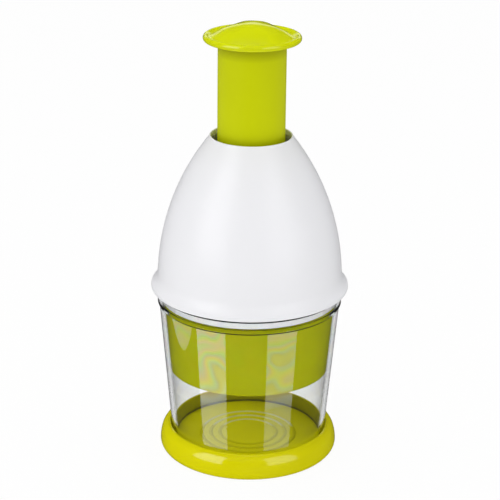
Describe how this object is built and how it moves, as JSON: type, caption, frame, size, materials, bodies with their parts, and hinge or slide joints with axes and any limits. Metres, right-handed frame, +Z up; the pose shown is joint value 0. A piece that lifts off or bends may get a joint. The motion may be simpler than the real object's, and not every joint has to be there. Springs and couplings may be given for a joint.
{
  "type": "plunger food chopper",
  "caption": "Press-down food chopper: mushroom knob and plunger over a domed housing, a clear chopping cup on a base cap, and folded blades that turn as they strike through a slotted guard.",
  "frame": {"origin": "centre of the ground face of the base cap", "axes": "+Z up along the plunger's axis, through the knob; the front, as pictured, faces -Y"},
  "size_m": [0.095, 0.095, 0.2136],
  "materials": {
    "green": "lime green, smooth gloss",
    "white": "white, smooth gloss",
    "clear": "clear plastic",
    "grey": "light grey, low-friction plastic",
    "steel": "stainless steel"
  },
  "bodies": {
    "base": {"base_cap": "green"},
    "container": {"container": "clear"},
    "housing": {"housing_dome": "white", "spigot_ring": "white", "bulkhead": "white", "guide_sleeve": "white", "ratchet_ring": "grey", "index_nut": "grey", "nut_cap": "grey", "spring_seat": "steel", "plunger_spring": "steel"},
    "plunger": {"knob_cap": "green", "plunger_tube": "green", "swivel_clip": "grey", "thrust_washer": "steel"},
    "guard": {"guard_cup": "green", "wiper_plate": "green", "guard_ring": "green"},
    "blades": {"spindle": "grey", "blade_holder": "white", "lock_ring": "grey", "blade_band": "steel"}
  },
  "joints": [
    {"name": "container_lift", "type": "slide", "parent": "base", "child": "container", "axis": [0, 0, 1], "range_m": [0, 0.03]},
    {"name": "housing_lift", "type": "slide", "parent": "container", "child": "housing", "axis": [0, 0, 1], "range_m": [0, 0.06]},
    {"name": "plunger_press", "type": "slide", "parent": "housing", "child": "plunger", "axis": [0, 0, 1], "range_m": [-0.0365, 0], "stiffness_N_per_m": 400, "springref_m": 0.015, "deforming": ["plunger_spring"]},
    {"name": "blade_index", "type": "hinge", "parent": "housing", "child": "guard", "pos_m": [0, 0, 0.08], "axis": [0, 0, 1], "range_deg": [0, 60.1]},
    {"name": "blade_stroke", "type": "slide", "parent": "guard", "child": "blades", "axis": [0, 0, 1], "range_m": [-0.0365, 0]}
  ],
  "couplings": [
    {"joint": "blade_index", "follows": "plunger_press", "rad_per_m": -28.69},
    {"joint": "blade_stroke", "follows": "plunger_press", "ratio": 1}
  ]
}
